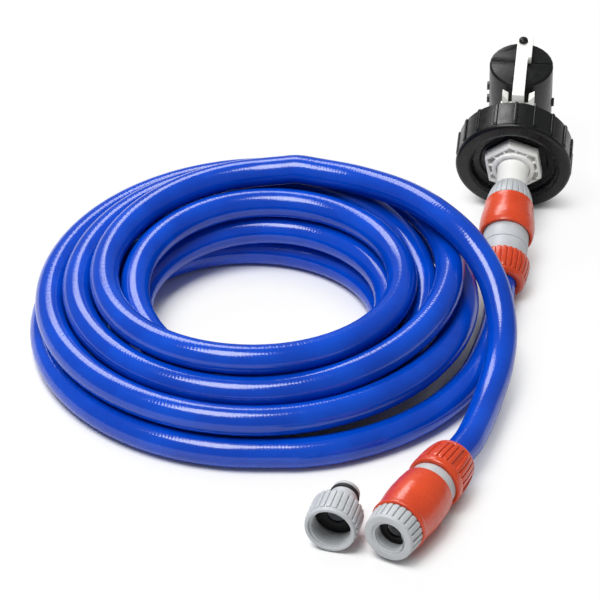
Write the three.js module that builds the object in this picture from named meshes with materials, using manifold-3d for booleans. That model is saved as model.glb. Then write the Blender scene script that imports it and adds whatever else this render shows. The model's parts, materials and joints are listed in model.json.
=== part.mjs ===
// Drinking-water hose kit for a caravan: a coiled blue hose with a quick connector at each end,
// a spare threaded adapter, and a float valve in a screw cap that fits a water barrel.
// Millimetres, +Z up, floor at z = 0. The hose is coiled about x = y = 0 before the kit is centred.
import * as THREE from 'three';
import { mergeVertices } from 'three/addons/utils/BufferGeometryUtils.js';
import Module from 'manifold-3d';

const wasm = await Module();
wasm.setup();

// ---------------------------------------------------------------- driving dimensions
const GAP = 0.3;                 // clearance between pieces that touch
const HOSE_D = 17.5;             // outside diameter of the 12.5 mm bore hose
const HOSE_R = HOSE_D / 2;

// One row for each turn of the coil, from the rear end to the front end: radius and height of the
// hose centre as it passes the front, the left, the back and the right.
const COIL_TURNS = [
  [[126.4, 8.75], [125.3, 8.75], [124, 17.3], [123, 26.8]],
  [[119, 25.6], [121.6, 27.2], [123.2, 35.8], [114.3, 45.2]],
  [[102.6, 33.6], [105.4, 36], [104, 44.6], [99.3, 32.2]],
  [[103.5, 14], [103, 16.8], [98, 8.75], [94.5, 8.75]],
  [[83.5, 8.75], [86.5, 8.75], [78, 8.75], [76, 8.75]],
  [[65.5, 16], [69.8, 18.6], [72.6, 27.2], [78.5, 27.2]],
  [[82.4, 28], [71, 38.2], [74.3, 45.2], [86, 45]],
  [[90, 47.1], [89, 45.1], [90.4, 56.6], [104, 64]],
];
const COIL_LENGTH_IN_TURNS = 7.5;
const COIL_STEPS = 24;           // steps in a turn
const COIL_SIDES = 6;
const COIL_END_RISE = 1.9;       // the top end climbs this much in its straight diameter

const LEAD_SIDES = 10;
const LEAD_STEP = HOSE_D;        // length of one step of a lead
const LEAD_STUB = 6;             // straight start of a lead at the coil

// Where each connector's axis starts (the hose side of its clamp nut) and where it points.
const FRONT_START = [112, -143];
const FRONT_HEADING = -151.4;    // degrees clockwise from +Y, seen from above
const REAR_START = [146.8, 33];
const REAR_HEADING = 6.7;
const REAR_RISE = 12.3;          // degrees; the rim of the cap lifts the far end
const SPARE_MOUTH = [42, -204];
const SPARE_HEADING = 15.7;

// Free stretches of hose between the coil and the connectors, chosen by hand.
const FRONT_ROUTE = [
  [37, 86.6, 59.2], [61, 77, 60], [89, 55.5, 63.2], [109.5, 31.5, 64.3], [126.5, 9.6, 59],
  [139, -12, 46.5], [143.5, -35, 32], [141, -58, 22], [134, -84, 17], [127.5, -107, 16.5],
];
const REAR_ROUTE = [
  [48, -122, 9], [78, -108.5, 9.1], [105, -86, 9.1], [125, -57, 9.1], [136, -27, 9.3], [141.8, -4, 9.6],
];
const STRAIGHT_LEAD = [18, 11, 4]; // straight points of a lead before its clamp nut

// Quick connectors, along the axis from the hose side of the nut.
const HOSE_END = 14;             // depth of the hose end inside the nut
const NUT_R = 16.2;
const NUT_REAR_R = 13.6;
const NUT_RIBS = 28;
const NUT_RIB_HEIGHT = 0.9;
const NUT_LIP = 3;               // thickness of the nut's hose end
const THREAD_R = 12.4;           // outside of the clamp thread on the body
const THREAD_CLEARANCE = 0.4;
const COLLET_SLOTS = 6;
const COLLET_SLOT_WIDTH = 1.6;
const BODY_R = 13.9;             // grey body where it shows
const BODY_BORE_R = 5.2;
const NECK_R = 11.4;             // body inside the sleeve
const BODY_HEAD_R = 13.4;        // body at the mouth of the socket
const SLEEVE_CLEARANCE = 0.4;
const SLEEVE_GUIDE = 2;          // the body fills the sleeve this deep from its hose end
const NIPPLE_R = 7.9;
const NIPPLE_LENGTH = 24;
const NIPPLE_BORE_R = 5;
const SOCKET_CLEARANCE = 0.7;
const SEAL_R = 1.5;              // section radius of an O-ring's groove
const SEAL_SQUEEZE = 0.9;        // share of the groove that the O-ring fills
const SEAL_GROOVE_R = NIPPLE_R - 2 * SEAL_R + 0.6;
const SEAL_GROOVE = 2 * SEAL_R + 0.6;
const SEAL_BACK = 3;             // groove behind the tip of a nipple
const CLAWS = 4;
const CLAW_WIDTH = 5;
const CLAW_LENGTH = 14.4;        // from the band to the tip
const CLAW_BAND = 5;
const CLAW_SETBACK = 7.6;        // tip of the claws behind the mouth of the socket
const CLAW_NOSE = 3;
const SEAT_DEPTH = 2;            // the coupling's collar starts this deep inside the sleeve
const COLLAR_RIBS = 24;
const RIB_HEIGHT = 0.8;
const THREAD_MOUTH_R = 9.5;      // 1/2 inch pipe thread, female
const COLLAR_WEB = 3;            // wall between the thread and the nipple
const WASHER_THICKNESS = 2;

// Lengths of the two connectors, and radii of their sleeves. A grip is a list of [share of the
// collar's length, radius]; lip is the smooth band at its mouth, and chamfer is inside the mouth.
const FRONT = {
  nut: 25.5, flange: 5.5, body: 7.8, sleeve: 35.2, collar: 12.1,
  sleeveBack: 16.1, sleeveWidest: 17.3, widestAt: 0.42, sleeveFront: 16, sleeveLip: 0.45,
  grip: [[0, 15.6], [1, 14.7]], lip: 2.6, chamfer: 1,
};
const REAR = {
  nut: 17.8, flange: 0, body: 21.6, sleeve: 26.3, collar: 14.3, split: 10.9,
  sleeveBack: 16.2, sleeveWidest: 17, widestAt: 0.25, sleeveFront: 15, sleeveLip: 0.1,
  grip: [[0, 14.3], [0.5, 13.3], [0.85, 11.7], [1, 10.6]], lip: 0, chamfer: 0.4,
};

// Spare adapter, along its axis from the threaded mouth.
const SPARE_R = 15;
const SPARE_LIP_R = 14.3;
const SPARE_LIP = 3;
const SPARE_LENGTH = 19;
const SPARE_SHOULDER = 1.5;
const SPARE_CHAMFER = 0.5;
const SPARE_MOUTH_R = 12.2;      // 3/4 inch pipe thread, female
const SPARE_RIBS = 26;
const SPARE_NIPPLE = 17.6;

// Screw cap and float valve, along the rear axis; CAP_AT is the face of the cap.
const CAP_AT = 99.2;
const CAP_R = 36.4;
const CAP_RIB_HEIGHT = 0.9;
const CAP_RIBS = 18;
const CAP_RIB_WIDTH = 2.4;
const CAP_RIB_FROM = 3;          // start of the ribs behind the face; the cap lies on this end of them
const CAP_DEPTH = 22;
const CAP_WALL = 3.2;
const CAP_WEB = 2.7;
const CAP_RECESS = 6.9;
const CAP_RING_WALL = 2.6;       // between the recess and the gasket's groove
const GASKET_WIDTH = 2.7;
const GASKET_THICKNESS = 2.2;
const CAP_STEP = 1;              // raised ring on the floor of the recess
const CAP_STEP_WIDTH = 5;
const STEM_R = 10.3;             // 1/2 inch pipe thread, male
const STEM_NECK_R = 9.5;         // smooth stem between the coupling and the backnut
const STEM_THREAD_CLEARANCE = 0.35;
const ORIFICE_R = 2.2;
const BACKNUT_FLATS = 33;
const BACKNUT_TURN = 9;          // degrees that a corner stands off the top
const BACKNUT_THICKNESS = 7.4;
const BACKNUT_HUB_R = 13.2;
const BACKNUT_HUB_RISE = 1.5;    // the hub stands out of the nut
const BACKNUT_RIB_WIDTH = 1.2;
const BACKNUT_RIM = 1.8;
const BACKNUT_POCKET = 4;
const BACKNUT_RIBS = 12;
const FLANGE_R = 17;
const FLANGE_THICKNESS = 2.2;
const FLANGE_WASHER = 1.8;
const VALVE_R = 9;
const VALVE_BACK = 27.8;         // end of the valve body behind the face of the cap
const PISTON_R = 3.9;
const PISTON_BORE = 11;
const PISTON_SEAL = 1.8;
const PISTON_NOSE = 2.5;         // stands out of the valve body
const EAR_INNER = 6.4;
const EAR_THICKNESS = 3.5;
const EAR_TOP = 9;               // outer corner of an ear above the pivot
const PIN_R = 1.9;
const PIN_AT = 35.3;             // pivot behind the face of the cap
const PIN_HEIGHT = 20;           // pivot above the valve's axis
const ARM_WIDTH = 7.4;
const ARM_THICKNESS = 3;
const ARM_END = 84.8;
const ARM_FLANGE_FROM = 64.5;
const ARM_FLANGE = 2.4;
const ARM_FLANGE_RISE = 2.2;     // the flange stands this much above the arm
const HEEL_DROP = 2;             // the lever's heel reaches this far below the piston's axis
const FLOAT_R = 19.9;
const FLOAT_AT = 63.8;           // axis of the float behind the face of the cap
const FLOAT_TOP = 28.3;          // above the valve's axis
const FLOAT_HEIGHT = 46;
const FLOAT_WALL = 1.8;
const FLOAT_LID = 2.5;
const FLOAT_BASE = 3;
const KNOB_R = 2.9;
const KNOB_SHANK_R = 1.6;
const KNOB_AT = 80.8;

// ---------------------------------------------------------------- solids
const radians = THREE.MathUtils.degToRad;

// A closed geometry as a solid that can be joined and cut.
function solid(geometry) {
  const bare = geometry.clone();
  bare.deleteAttribute('normal');
  bare.deleteAttribute('uv');
  const merged = mergeVertices(bare, 1e-4);
  const index = merged.index.array;
  const position = merged.attributes.position;
  const corners = [new THREE.Vector3(), new THREE.Vector3(), new THREE.Vector3()];
  const faces = [];
  let volume = 0;
  for (let i = 0; i < index.length; i += 3) {
    const [a, b, c] = [index[i], index[i + 1], index[i + 2]];
    if (a === b || b === c || c === a) continue;
    faces.push(a, b, c);
    [a, b, c].forEach((v, k) => corners[k].fromBufferAttribute(position, v));
    volume += corners[0].dot(corners[1].clone().cross(corners[2]));
  }
  if (volume < 0) faces.reverse();
  return new wasm.Manifold(new wasm.Mesh({
    numProp: 3,
    vertProperties: new Float32Array(position.array),
    triVerts: new Uint32Array(faces),
  }));
}

function geometryOf(shape) {
  const mesh = shape.getMesh();
  const geometry = new THREE.BufferGeometry();
  geometry.setAttribute('position', new THREE.BufferAttribute(mesh.vertProperties, 3));
  geometry.setIndex(new THREE.BufferAttribute(mesh.triVerts, 1));
  geometry.computeVertexNormals();
  return geometry;
}

// A profile of [radius, height] corners turned about Z.
function turned(profile, segments = 20) {
  const points = profile.map(([r, z]) => new THREE.Vector2(r, z));
  if (profile[0][0] > 0) points.push(points[0].clone());
  return solid(new THREE.LatheGeometry(points, segments).rotateX(Math.PI / 2));
}

function rod(radius, from, to, segments = 20) {
  return turned([[0, from], [radius, from], [radius, to], [0, to]], segments);
}

function ring(inner, outer, from, to, segments = 20) {
  return turned([[inner, from], [outer, from], [outer, to], [inner, to]], segments);
}

// An outline of [x, y] corners raised along Z.
function raised(outline, from, to) {
  const shape = new THREE.Shape(outline.map(([x, y]) => new THREE.Vector2(x, y)));
  const geometry = new THREE.ExtrudeGeometry(shape, { depth: to - from, bevelEnabled: false });
  return solid(geometry.translate(0, 0, from));
}

function block(width, height, depth, x, y, z) {
  return solid(new THREE.BoxGeometry(width, height, depth).translate(x, y, z));
}

function torus(radius, section, at) {
  return solid(new THREE.TorusGeometry(radius, section, 6, 20).translate(0, 0, at));
}

// The outline of a ribbed grip: flat crests with narrow grooves between them.
function ribbedOutline(crest, root, count, crestShare = 0.6) {
  const pitch = (2 * Math.PI) / count;
  const half = (pitch * crestShare) / 2;
  const foot = pitch * 0.08;
  const outline = [];
  for (let i = 0; i < count; i += 1) {
    const middle = i * pitch;
    for (const [radius, angle] of [[root, -half - foot], [crest, -half], [crest, half], [root, half + foot]]) {
      outline.push([radius * Math.cos(middle + angle), radius * Math.sin(middle + angle)]);
    }
  }
  return outline;
}

// A ribbed grip whose crests follow [radius, height] stations along Z, with flat ends.
function ribbedGrip(stations, ribHeight, count) {
  const positions = [];
  for (const [radius, z] of stations) {
    for (const [x, y] of ribbedOutline(radius, radius - ribHeight, count)) positions.push(x, y, z);
  }
  const sides = 4 * count;
  const first = sides * stations.length;
  const last = sides * (stations.length - 1);
  positions.push(0, 0, stations[0][1], 0, 0, stations.at(-1)[1]);
  const index = [];
  for (let k = 0; k < sides; k += 1) {
    const next = (k + 1) % sides;
    for (let ring = 0; ring < last; ring += sides) {
      index.push(ring + k, ring + next, ring + sides + k, ring + next, ring + sides + next, ring + sides + k);
    }
    index.push(first, next, k, first + 1, last + k, last + next);
  }
  const geometry = new THREE.BufferGeometry();
  geometry.setAttribute('position', new THREE.Float32BufferAttribute(positions, 3));
  geometry.setIndex(index);
  return solid(geometry);
}

// Copies of a solid, evenly spaced about Z.
function aroundZ(shape, count, start = 0) {
  let all = null;
  for (let i = 0; i < count; i += 1) {
    const copy = shape.rotate([0, 0, start + (360 * i) / count]);
    all = all ? all.add(copy) : copy;
  }
  return all;
}

// A closed tube through a list of centre points, with a corner of each section pointing down.
function tubeGeometry(centres, radius, sides) {
  const positions = [];
  const index = [];
  const up = new THREE.Vector3(0, 0, 1);
  centres.forEach((centre, i) => {
    const before = centres[Math.max(i - 1, 0)];
    const after = centres[Math.min(i + 1, centres.length - 1)];
    const along = after.clone().sub(before).normalize();
    const side = along.clone().cross(up).normalize();
    const over = side.clone().cross(along);
    for (let k = 0; k < sides; k += 1) {
      const angle = (2 * Math.PI * k) / sides - Math.PI / 2;
      const corner = centre.clone()
        .addScaledVector(side, radius * Math.cos(angle))
        .addScaledVector(over, radius * Math.sin(angle));
      positions.push(corner.x, corner.y, corner.z);
    }
  });
  for (let i = 0; i < centres.length - 1; i += 1) {
    for (let k = 0; k < sides; k += 1) {
      const a = i * sides + k;
      const b = i * sides + ((k + 1) % sides);
      index.push(a, a + sides, b, b, a + sides, b + sides);
    }
  }
  const last = (centres.length - 1) * sides;
  for (let k = 1; k < sides - 1; k += 1) {
    index.push(0, k, k + 1, last, last + k + 1, last + k);
  }
  const geometry = new THREE.BufferGeometry();
  geometry.setAttribute('position', new THREE.Float32BufferAttribute(positions, 3));
  geometry.setIndex(index);
  return geometry;
}

// ---------------------------------------------------------------- materials
function finish(color, roughness, metalness = 0) {
  return () => new THREE.MeshStandardMaterial({ color, roughness, metalness, flatShading: true });
}
const blueHose = finish(0x0a4bd6, 0.3);
const orangePlastic = finish(0xe04a24, 0.4);
const greyPlastic = finish(0xb9bcbf, 0.5);
const whitePlastic = finish(0xe6e6e2, 0.5);
const blackPlastic = finish(0x26272a, 0.5);
const blackRubber = finish(0x141414, 0.8);

const kit = new THREE.Group();

function addMesh(parent, name, geometry, material) {
  const mesh = new THREE.Mesh(geometry, material());
  mesh.name = name;
  parent.add(mesh);
  return mesh;
}

// ---------------------------------------------------------------- hose
// A value that runs smoothly through the stations of the coil, a quarter turn apart.
function stationValue(values, at) {
  const i = Math.min(Math.floor(at), values.length - 2);
  const u = at - i;
  const pick = (k) => values[Math.min(Math.max(k, 0), values.length - 1)];
  const [p0, p1, p2, p3] = [pick(i - 1), pick(i), pick(i + 1), pick(i + 2)];
  const linear = (p2 - p0) * u;
  const square = (2 * p0 - 5 * p1 + 4 * p2 - p3) * u * u;
  const cube = (3 * p1 - p0 - 3 * p2 + p3) * u * u * u;
  return (2 * p1 + linear + square + cube) / 2;
}

function coilCentres() {
  const stations = COIL_TURNS.flat();
  const radii = stations.map(([radius]) => radius);
  const heights = stations.map(([, height]) => height);
  const centres = [];
  const steps = COIL_LENGTH_IN_TURNS * COIL_STEPS;
  for (let i = 0; i <= steps; i += 1) {
    const turn = i / COIL_STEPS;
    const angle = -Math.PI / 2 - 2 * Math.PI * turn;
    const radius = stationValue(radii, 4 * turn);
    const height = Math.max(stationValue(heights, 4 * turn), HOSE_R);
    centres.push(new THREE.Vector3(radius * Math.cos(angle), radius * Math.sin(angle), height));
  }
  return centres;
}

// The coil's two ends run straight for one diameter.
const turns = coilCentres();
const rearDirection = new THREE.Vector3(1, 0, 0);
const topDirection = new THREE.Vector3(HOSE_D, 0, COIL_END_RISE).normalize();
const coilStart = turns[0].clone().addScaledVector(rearDirection, HOSE_D);
const coilEnd = turns.at(-1).clone().addScaledVector(topDirection, HOSE_D);
const coilLine = [coilStart, ...turns, coilEnd];

function leastGap(line) {
  const fine = [];
  for (let i = 0; i < line.length - 1; i += 1) {
    for (let k = 0; k < 4; k += 1) fine.push(line[i].clone().lerp(line[i + 1], k / 4));
  }
  const away = 3 * COIL_STEPS; // neighbours along the hose are not measured
  let least = Infinity;
  for (let i = 0; i < fine.length; i += 1) {
    for (let j = i + away; j < fine.length; j += 1) least = Math.min(least, fine[i].distanceTo(fine[j]));
  }
  return least - HOSE_D;
}

function lengthOf(line) {
  return line.slice(1).reduce((sum, point, i) => sum + point.distanceTo(line[i]), 0);
}

addMesh(kit, 'hose_coil', tubeGeometry(coilLine, HOSE_R, COIL_SIDES), blueHose);
console.log(`least gap between the turns of the coil: ${leastGap(coilLine).toFixed(2)} mm`);

// ---------------------------------------------------------------- axes of the fittings
// A group whose +Z is a fitting's axis and whose +Y is up or leans up.
function axisGroup(x, y, z, heading, rise) {
  const group = new THREE.Group();
  const flat = new THREE.Vector3(Math.sin(radians(heading)), Math.cos(radians(heading)), 0);
  const up = new THREE.Vector3(0, 0, 1);
  const along = flat.clone().multiplyScalar(Math.cos(radians(rise))).addScaledVector(up, Math.sin(radians(rise)));
  const over = up.clone().multiplyScalar(Math.cos(radians(rise))).addScaledVector(flat, -Math.sin(radians(rise)));
  const side = over.clone().cross(along);
  group.position.set(x, y, z);
  group.setRotationFromMatrix(new THREE.Matrix4().makeBasis(side, over, along));
  group.updateMatrix();
  kit.add(group);
  return group;
}

// The front connector lies on its sleeve, the rear one on the rim of the cap, the spare on its ribs.
const restAt = CAP_AT + CAP_RIB_FROM;
const rearHeight = CAP_R * Math.cos(radians(REAR_RISE)) - restAt * Math.sin(radians(REAR_RISE));
const frontAxis = axisGroup(...FRONT_START, FRONT.sleeveWidest, FRONT_HEADING, 0);
const rearAxis = axisGroup(...REAR_START, rearHeight, REAR_HEADING, REAR_RISE);
const spareAxis = axisGroup(...SPARE_MOUTH, SPARE_R, SPARE_HEADING, 0);

function lead(name, start, direction, route, axis) {
  const onAxis = (depth) => new THREE.Vector3(0, 0, depth).applyMatrix4(axis.matrix);
  const points = [
    start.clone().addScaledVector(direction, GAP),
    start.clone().addScaledVector(direction, GAP + LEAD_STUB),
    ...route.map((point) => new THREE.Vector3(...point)),
    ...STRAIGHT_LEAD.map((distance) => onAxis(-distance)),
    onAxis(HOSE_END),
  ];
  const curve = new THREE.CatmullRomCurve3(points, false, 'centripetal');
  const section = new THREE.Shape();
  for (let k = 0; k < LEAD_SIDES; k += 1) {
    const angle = (2 * Math.PI * k) / LEAD_SIDES;
    const corner = [HOSE_R * Math.cos(angle), HOSE_R * Math.sin(angle)];
    if (k === 0) section.moveTo(...corner);
    else section.lineTo(...corner);
  }
  section.closePath();
  const steps = Math.round(curve.getLength() / LEAD_STEP);
  const geometry = new THREE.ExtrudeGeometry(section, { steps, extrudePath: curve, bevelEnabled: false });
  addMesh(kit, name, geometryOf(solid(geometry)), blueHose);
  return curve.getLength();
}

const frontLength = lead('hose_lead_front', coilEnd, topDirection, FRONT_ROUTE, frontAxis);
const rearLength = lead('hose_lead_rear', coilStart, rearDirection, REAR_ROUTE, rearAxis);
const hoseLength = lengthOf(coilLine) + frontLength + rearLength;
console.log(`length of the hose: ${(hoseLength / 1000).toFixed(2)} m`);

// ---------------------------------------------------------------- quick connectors
function clampNut(length, flange) {
  const ribbed = length - flange;
  const grip = raised(ribbedOutline(NUT_R, NUT_R - NUT_RIB_HEIGHT, NUT_RIBS, 0.55), 0, ribbed);
  const envelope = turned([
    [0, 0], [NUT_REAR_R - 2, 0], [NUT_REAR_R, 1.6], [NUT_R - 0.9, ribbed * 0.45],
    [NUT_R - 0.2, ribbed], [0, ribbed],
  ], 28);
  const bore = HOSE_R + THREAD_CLEARANCE;
  const wide = THREAD_R + THREAD_CLEARANCE;
  const hollow = turned([
    [0, -1], [bore, -1], [bore, NUT_LIP], [wide - 1.6, NUT_LIP + 0.5], [wide, HOSE_END], [wide, length + 1],
    [0, length + 1],
  ]);
  let nut = grip.intersect(envelope);
  if (flange > 0) {
    nut = nut.add(turned([
      [0, ribbed - 0.5], [NUT_R - 0.8, ribbed - 0.5], [NUT_R, ribbed + 0.8], [NUT_R, length - 0.8],
      [NUT_R - 0.8, length], [0, length],
    ]));
  }
  return nut.subtract(hollow);
}

// The collet's fingers close on the hose as the nut is screwed up.
function gripCollet() {
  const inner = HOSE_R + GAP;
  const outer = THREAD_R + THREAD_CLEARANCE - GAP;
  const from = NUT_LIP + 0.5 + GAP;
  const to = HOSE_END;
  const blank = turned([
    [inner, from], [outer - 1.7, from], [outer - 0.2, to - 2], [outer - 0.2, to], [inner, to],
  ]);
  const slot = block(outer, COLLET_SLOT_WIDTH, to - from, outer / 2, 0, (from + to) / 2 - 2.5);
  return blank.subtract(aroundZ(slot, COLLET_SLOTS));
}

function connectorBody(size) {
  const sleeveFrom = size.nut + size.body;
  const front = sleeveFrom + size.sleeve - SEAT_DEPTH;
  const socketFloor = front - NIPPLE_LENGTH - 1;
  const socketR = NIPPLE_R + SOCKET_CLEARANCE;
  const shoulder = sleeveFrom + SLEEVE_GUIDE;
  const blank = turned([
    [BODY_BORE_R, HOSE_END + GAP], [THREAD_R, HOSE_END + GAP], [THREAD_R, size.nut + GAP], [BODY_R, size.nut + GAP],
    [BODY_R, shoulder], [NECK_R, shoulder], [NECK_R, front - 4], [BODY_HEAD_R, front - 4], [BODY_HEAD_R, front],
    [socketR + 0.8, front], [socketR, front - 0.8], [socketR, socketFloor], [BODY_BORE_R, socketFloor],
  ]);
  const windowAt = front - CLAW_SETBACK - CLAW_NOSE;
  const window = block(NECK_R, CLAW_WIDTH + 0.8, 2 * CLAW_NOSE + 1, 1.5 * NECK_R - 4.2, 0, windowAt);
  return blank.subtract(aroundZ(window, CLAWS, 45));
}

// A springy ring of claws that catches the nipple through windows in the body.
function clawRing(size) {
  const tip = size.nut + size.body + size.sleeve - SEAT_DEPTH - CLAW_SETBACK;
  const inner = NECK_R + GAP;
  const outer = BODY_R - SLEEVE_CLEARANCE;
  const bandFrom = tip - CLAW_LENGTH;
  const band = ring(inner, outer, bandFrom, bandFrom + CLAW_BAND);
  const reach = CLAW_LENGTH - CLAW_BAND + 0.5;
  const finger = block(outer - inner, CLAW_WIDTH, reach, (inner + outer) / 2 - 0.05, 0, tip - reach / 2);
  const nose = block(3.2, CLAW_WIDTH, CLAW_NOSE, inner - 1, 0, tip - 0.9 - CLAW_NOSE / 2);
  return band.add(aroundZ(finger.add(nose), CLAWS, 45));
}

function releaseSleeve(size) {
  const from = size.nut + size.body;
  const to = from + size.sleeve;
  const inner = BODY_R + SLEEVE_CLEARANCE;
  const widest = from + size.sleeve * size.widestAt;
  const outline = [
    [inner, from], [size.sleeveBack - 0.5, from], [size.sleeveBack, from + 0.7],
    [(size.sleeveBack + 2 * size.sleeveWidest) / 3, (from + widest) / 2],
    [size.sleeveWidest, widest], [size.sleeveWidest - 0.2, widest + size.sleeve * 0.18],
    [size.sleeveFront, to - 3.2], [size.sleeveFront + size.sleeveLip, to - 2.6],
    [size.sleeveFront + size.sleeveLip, to - 0.6], [size.sleeveFront - 0.5, to], [inner, to],
  ];
  return turned(outline, 30);
}

// Nipple and ribbed collar of a tap adapter. A plug on the collar centres it in the sleeve's end.
function coupling(size) {
  const sleeveEnd = size.nut + size.body + size.sleeve;
  const seat = sleeveEnd - SEAT_DEPTH + GAP;
  const gripFrom = sleeveEnd + GAP;
  const mouth = sleeveEnd + size.collar;
  const tip = seat - GAP - NIPPLE_LENGTH;
  const gripLength = mouth - size.lip - gripFrom;
  const stations = size.grip.map(([share, radius]) => [radius, gripFrom + share * gripLength]);
  const groove = tip + SEAL_BACK;
  const nipple = turned([
    [0, tip], [NIPPLE_R - 1, tip], [NIPPLE_R, tip + 1], [NIPPLE_R, groove], [SEAL_GROOVE_R, groove],
    [SEAL_GROOVE_R, groove + SEAL_GROOVE], [NIPPLE_R, groove + SEAL_GROOVE],
    [NIPPLE_R, seat - 13], [NIPPLE_R - 1.2, seat - 12.2], [NIPPLE_R - 1.2, seat - 8.4], [NIPPLE_R, seat - 7.6],
    [NIPPLE_R, seat + 0.5], [0, seat + 0.5],
  ]);
  let adapter = ribbedGrip(stations, RIB_HEIGHT, COLLAR_RIBS)
    .add(rod(BODY_HEAD_R, seat, gripFrom + 0.5))
    .add(nipple);
  if (size.lip > 0) {
    const lipR = size.grip.at(-1)[1] - 0.3;
    const lipFrom = mouth - size.lip - 0.5;
    const lip = [[0, lipFrom], [lipR, lipFrom], [lipR, mouth - 0.5], [lipR - 0.5, mouth], [0, mouth]];
    adapter = adapter.add(turned(lip));
  }
  const floor = seat + COLLAR_WEB;
  const mouthR = THREAD_MOUTH_R + size.chamfer;
  return adapter.subtract(turned([
    [0, tip - 1], [NIPPLE_BORE_R, tip - 1], [NIPPLE_BORE_R, floor], [THREAD_MOUTH_R, floor],
    [THREAD_MOUTH_R, mouth - size.chamfer], [mouthR, mouth], [mouthR, mouth + 1], [0, mouth + 1],
  ]));
}

// An O-ring about the middle of its groove.
function nippleSeal(at) {
  const section = SEAL_R * SEAL_SQUEEZE;
  return torus(SEAL_GROOVE_R + GAP + section, section, at);
}

function quickConnector(prefix, axis, size) {
  const seat = size.nut + size.body + size.sleeve - SEAT_DEPTH + GAP;
  const sealAt = seat - GAP - NIPPLE_LENGTH + SEAL_BACK + SEAL_GROOVE / 2;
  const washerFrom = seat + COLLAR_WEB + GAP;
  addMesh(axis, `${prefix}_clamp_nut`, geometryOf(clampNut(size.nut, size.flange)), orangePlastic);
  addMesh(axis, `${prefix}_grip_collet`, geometryOf(gripCollet()), whitePlastic);
  addMesh(axis, `${prefix}_claw_ring`, geometryOf(clawRing(size)), whitePlastic);
  addMesh(axis, `${prefix}_release_sleeve`, geometryOf(releaseSleeve(size)), orangePlastic);
  addMesh(axis, `${prefix}_coupling`, geometryOf(coupling(size)), greyPlastic);
  addMesh(axis, `${prefix}_nipple_seal`, geometryOf(nippleSeal(sealAt)), blackRubber);
  const washer = ring(NIPPLE_BORE_R, THREAD_MOUTH_R - GAP, washerFrom, washerFrom + WASHER_THICKNESS);
  addMesh(axis, `${prefix}_flat_washer`, geometryOf(washer), blackRubber);
}

quickConnector('front', frontAxis, FRONT);
addMesh(frontAxis, 'front_connector_body', geometryOf(connectorBody(FRONT)), greyPlastic);

// The rear body is in two pieces, with a split line between the short ribs and the nut.
quickConnector('rear', rearAxis, REAR);
const splitAt = REAR.nut + REAR.split;
const rearBody = connectorBody(REAR);
const ringCut = ring(THREAD_R + GAP, BODY_R + 1, REAR.nut, splitAt + GAP);
addMesh(rearAxis, 'rear_connector_body', geometryOf(rearBody.subtract(ringCut)), greyPlastic);
const collarRing = ring(THREAD_R + 2 * GAP, BODY_R, REAR.nut + GAP, splitAt);
addMesh(rearAxis, 'rear_body_ring', geometryOf(collarRing), greyPlastic);

// ---------------------------------------------------------------- spare adapter
const spareRibs = ribbedOutline(SPARE_R, SPARE_R - RIB_HEIGHT, SPARE_RIBS);
const spareGrip = raised(spareRibs, SPARE_LIP - 0.5, SPARE_LENGTH - SPARE_SHOULDER);
const shoulder = turned([
  [0, SPARE_LENGTH - SPARE_SHOULDER - 0.5], [SPARE_R - RIB_HEIGHT, SPARE_LENGTH - SPARE_SHOULDER - 0.5],
  [SPARE_R - RIB_HEIGHT, SPARE_LENGTH - SPARE_SHOULDER], [SPARE_R - 3.5, SPARE_LENGTH], [0, SPARE_LENGTH],
]);
const spareLip = turned([
  [0, 0], [SPARE_LIP_R - 0.4, 0], [SPARE_LIP_R, 0.4], [SPARE_LIP_R, SPARE_LIP], [0, SPARE_LIP],
]);
const spareTip = SPARE_LENGTH + SPARE_NIPPLE;
const spareGroove = spareTip - SEAL_BACK - SEAL_GROOVE;
const spareNipple = turned([
  [0, SPARE_LENGTH - 1], [NIPPLE_R + 0.4, SPARE_LENGTH - 1], [NIPPLE_R, SPARE_LENGTH + 1],
  [NIPPLE_R, spareGroove], [SEAL_GROOVE_R, spareGroove], [SEAL_GROOVE_R, spareGroove + SEAL_GROOVE],
  [NIPPLE_R, spareGroove + SEAL_GROOVE], [NIPPLE_R, spareTip - 1], [NIPPLE_R - 1, spareTip], [0, spareTip],
]);
const spareFloor = SPARE_LENGTH - COLLAR_WEB;
const sparePassage = turned([
  [0, -1], [SPARE_MOUTH_R + SPARE_CHAMFER, -1], [SPARE_MOUTH_R + SPARE_CHAMFER, 0], [SPARE_MOUTH_R, SPARE_CHAMFER],
  [SPARE_MOUTH_R, spareFloor], [NIPPLE_BORE_R, spareFloor], [NIPPLE_BORE_R, spareTip + 1], [0, spareTip + 1],
]);
const spareAdapter = spareGrip.add(shoulder).add(spareLip).add(spareNipple).subtract(sparePassage);
addMesh(spareAxis, 'spare_adapter', geometryOf(spareAdapter), greyPlastic);
const spareSeal = nippleSeal(spareGroove + SEAL_GROOVE / 2);
addMesh(spareAxis, 'spare_nipple_seal', geometryOf(spareSeal), blackRubber);
const spareWasherTo = spareFloor - GAP;
const spareWasher = ring(NIPPLE_BORE_R, SPARE_MOUTH_R - GAP, spareWasherTo - WASHER_THICKNESS, spareWasherTo);
addMesh(spareAxis, 'spare_flat_washer', geometryOf(spareWasher), blackRubber);

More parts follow.
